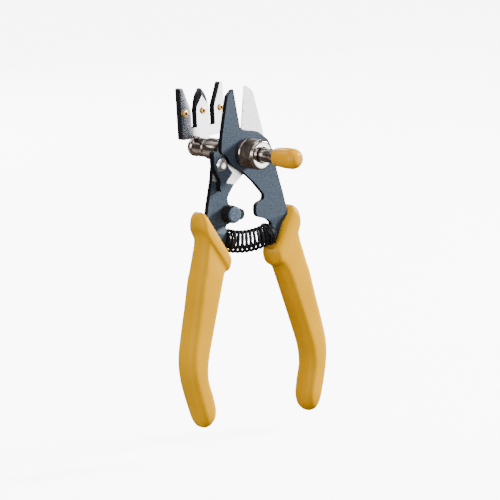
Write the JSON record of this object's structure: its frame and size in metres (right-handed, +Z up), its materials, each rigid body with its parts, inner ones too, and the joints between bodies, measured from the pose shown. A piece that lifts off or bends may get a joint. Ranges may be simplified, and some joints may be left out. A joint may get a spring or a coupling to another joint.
{
  "type": "wire stripper",
  "caption": "Precision wire stripper with dipped yellow grips, phosphated arms, a coil return spring and a sliding slotted strip-length gauge clamped by a knurled nut.",
  "frame": {"origin": "centre of the tool's bounding box with the arms open and the gauge slid fully forward", "axes": "+Z up along the jaws, +X to the tool's right seen from the nut side, -Y towards the clamp nut and the rod's cap, parallel to the pivot axis"},
  "size_m": [0.0836, 0.0708, 0.1561],
  "materials": {
    "phosphated_steel": "matte",
    "nickel_plate": "polished",
    "bright_steel": "polished",
    "black_oxide": "satin",
    "brass": "polished",
    "yellow_vinyl": "satin"
  },
  "bodies": {
    "left_half": {"rear_arm": "phosphated_steel", "left_grip": "yellow_vinyl", "pivot_sleeve": "bright_steel", "thrust_washer": "bright_steel", "rear_bushing": "nickel_plate", "clamp_collet": "brass", "latch_rivet": "bright_steel", "spring_seat_left": "black_oxide", "return_spring": "black_oxide"},
    "right_half": {"front_arm": "phosphated_steel", "right_grip": "yellow_vinyl", "spring_seat_right": "black_oxide"},
    "gauge": {"slide_rod": "nickel_plate", "rod_cap": "yellow_vinyl", "carrier_collar": "black_oxide", "comb_plate": "bright_steel", "spacer_ring": "black_oxide", "end_cap_nut": "nickel_plate", "guide_eyelet_left": "brass", "guide_eyelet_middle": "brass", "guide_eyelet_right": "brass"},
    "nut": {"clamp_nut": "nickel_plate"},
    "latch": {"latch_lever": "phosphated_steel"},
    "stop": {"stop_pin": "phosphated_steel", "stop_cam": "black_oxide", "stop_retainer": "black_oxide"}
  },
  "joints": [
    {"name": "arm_pivot", "type": "hinge", "parent": "left_half", "child": "right_half", "pos_m": [-0.0004, 0.0024, 0.0487], "axis": [0, 1, 0], "range_deg": [0, 14], "stiffness_Nm_per_rad": 0.5, "springref_deg": -11.46, "deforming": ["return_spring"]},
    {"name": "gauge_slide", "type": "slide", "parent": "left_half", "child": "gauge", "axis": [0, 1, 0], "range_m": [0, 0.009]},
    {"name": "nut_turn", "type": "hinge", "parent": "left_half", "child": "nut", "pos_m": [-0.0004, 0.0024, 0.0487], "axis": [0, -1, 0], "range_deg": [0, 120]},
    {"name": "latch_pivot", "type": "hinge", "parent": "left_half", "child": "latch", "pos_m": [-0.0158, 0.0024, 0.0455], "axis": [0, 1, 0], "range_deg": [-18, 3]},
    {"name": "stop_turn", "type": "hinge", "parent": "left_half", "child": "stop", "pos_m": [-0.0115, 0.0024, 0.0225], "axis": [0, 1, 0], "range_deg": [-30, 30]}
  ]
}
